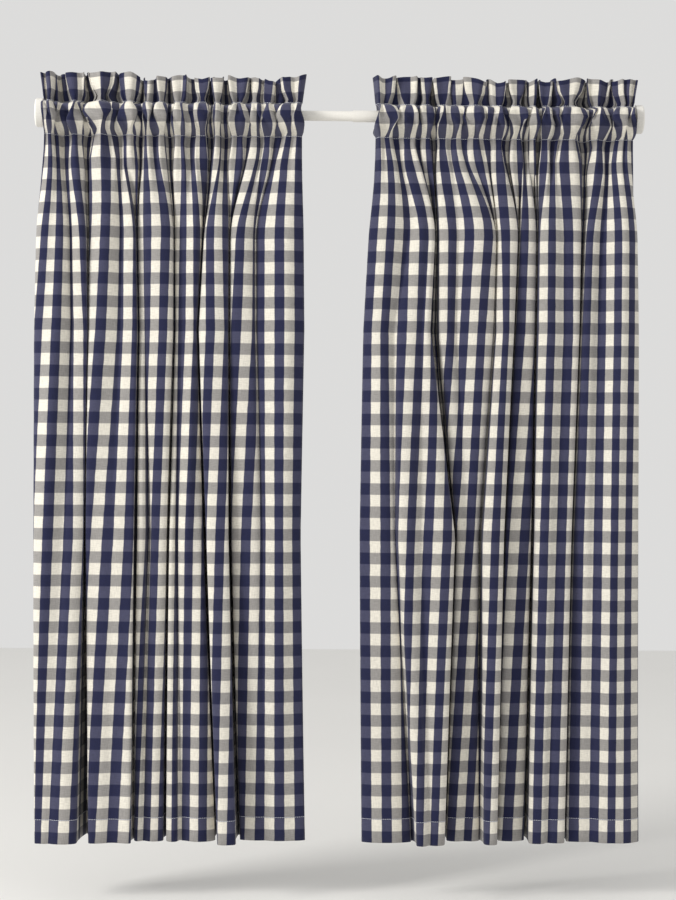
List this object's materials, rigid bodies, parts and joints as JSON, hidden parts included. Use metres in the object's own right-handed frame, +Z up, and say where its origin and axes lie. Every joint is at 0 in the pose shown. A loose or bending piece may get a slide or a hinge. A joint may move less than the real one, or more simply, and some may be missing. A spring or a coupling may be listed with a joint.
{
  "type": "cafe curtain pair on a tension rod",
  "caption": "Pair of gathered cotton cafe curtain panels with rod pocket and ruffled heading, hung on a thin white tension rod.",
  "frame": {"origin": "middle of the left end pad's outer flat face, on the rod's axis", "axes": "+X along the rod to the right, -Y towards the room, +Z up"},
  "size_m": [0.722, 0.0849, 0.9073],
  "materials": {
    "cloth": "navy and cream checked woven cotton",
    "rod": "white enamel",
    "pad": "white moulded plastic"
  },
  "bodies": {
    "root": {"panel_left": "cloth", "panel_right": "cloth", "rod_inner_tube": "rod", "rod_outer_tube": "rod", "end_pad_left": "pad", "end_pad_right": "pad"}
  },
  "joints": []
}
